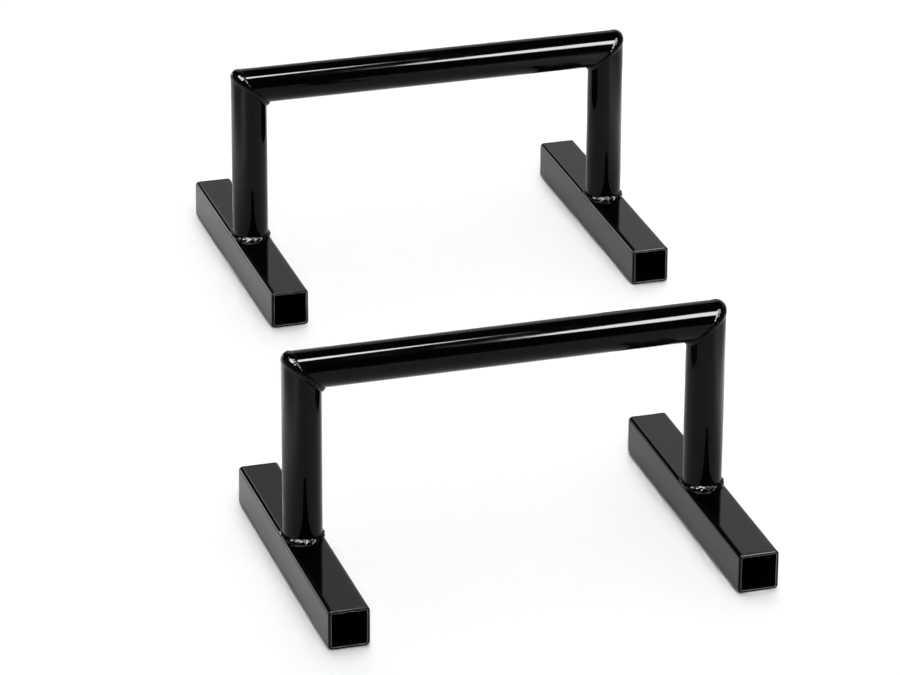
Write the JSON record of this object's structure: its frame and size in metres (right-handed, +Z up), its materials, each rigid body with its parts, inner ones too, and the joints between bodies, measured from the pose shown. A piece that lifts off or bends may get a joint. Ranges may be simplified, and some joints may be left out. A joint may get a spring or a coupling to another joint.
{
  "type": "parallette bars",
  "caption": "Pair of low welded steel parallette bars: a round grip mitred to round uprights on open square-tube feet, gloss black, for handstand and support training.",
  "frame": {"origin": "on the floor, at the middle of the pair's bounding box", "axes": "+Z up; X along the grips; Y along the feet, from the front bar to the rear bar"},
  "size_m": [0.5854, 1.03, 0.23],
  "materials": {
    "tube_enamel": "gloss black powder coat on drawn steel tube",
    "weld_enamel": "gloss black powder coat over a rippled weld bead"
  },
  "bodies": {
    "root": {"front_grip_tube": "tube_enamel", "front_left_upright": "tube_enamel", "front_left_mitre_weld": "weld_enamel", "front_left_foot": "tube_enamel", "front_left_base_weld": "weld_enamel", "front_right_upright": "tube_enamel", "front_right_mitre_weld": "weld_enamel", "front_right_foot": "tube_enamel", "front_right_base_weld": "weld_enamel", "rear_grip_tube": "tube_enamel", "rear_left_upright": "tube_enamel", "rear_left_mitre_weld": "weld_enamel", "rear_left_foot": "tube_enamel", "rear_left_base_weld": "weld_enamel", "rear_right_upright": "tube_enamel", "rear_right_mitre_weld": "weld_enamel", "rear_right_foot": "tube_enamel", "rear_right_base_weld": "weld_enamel"}
  },
  "joints": []
}
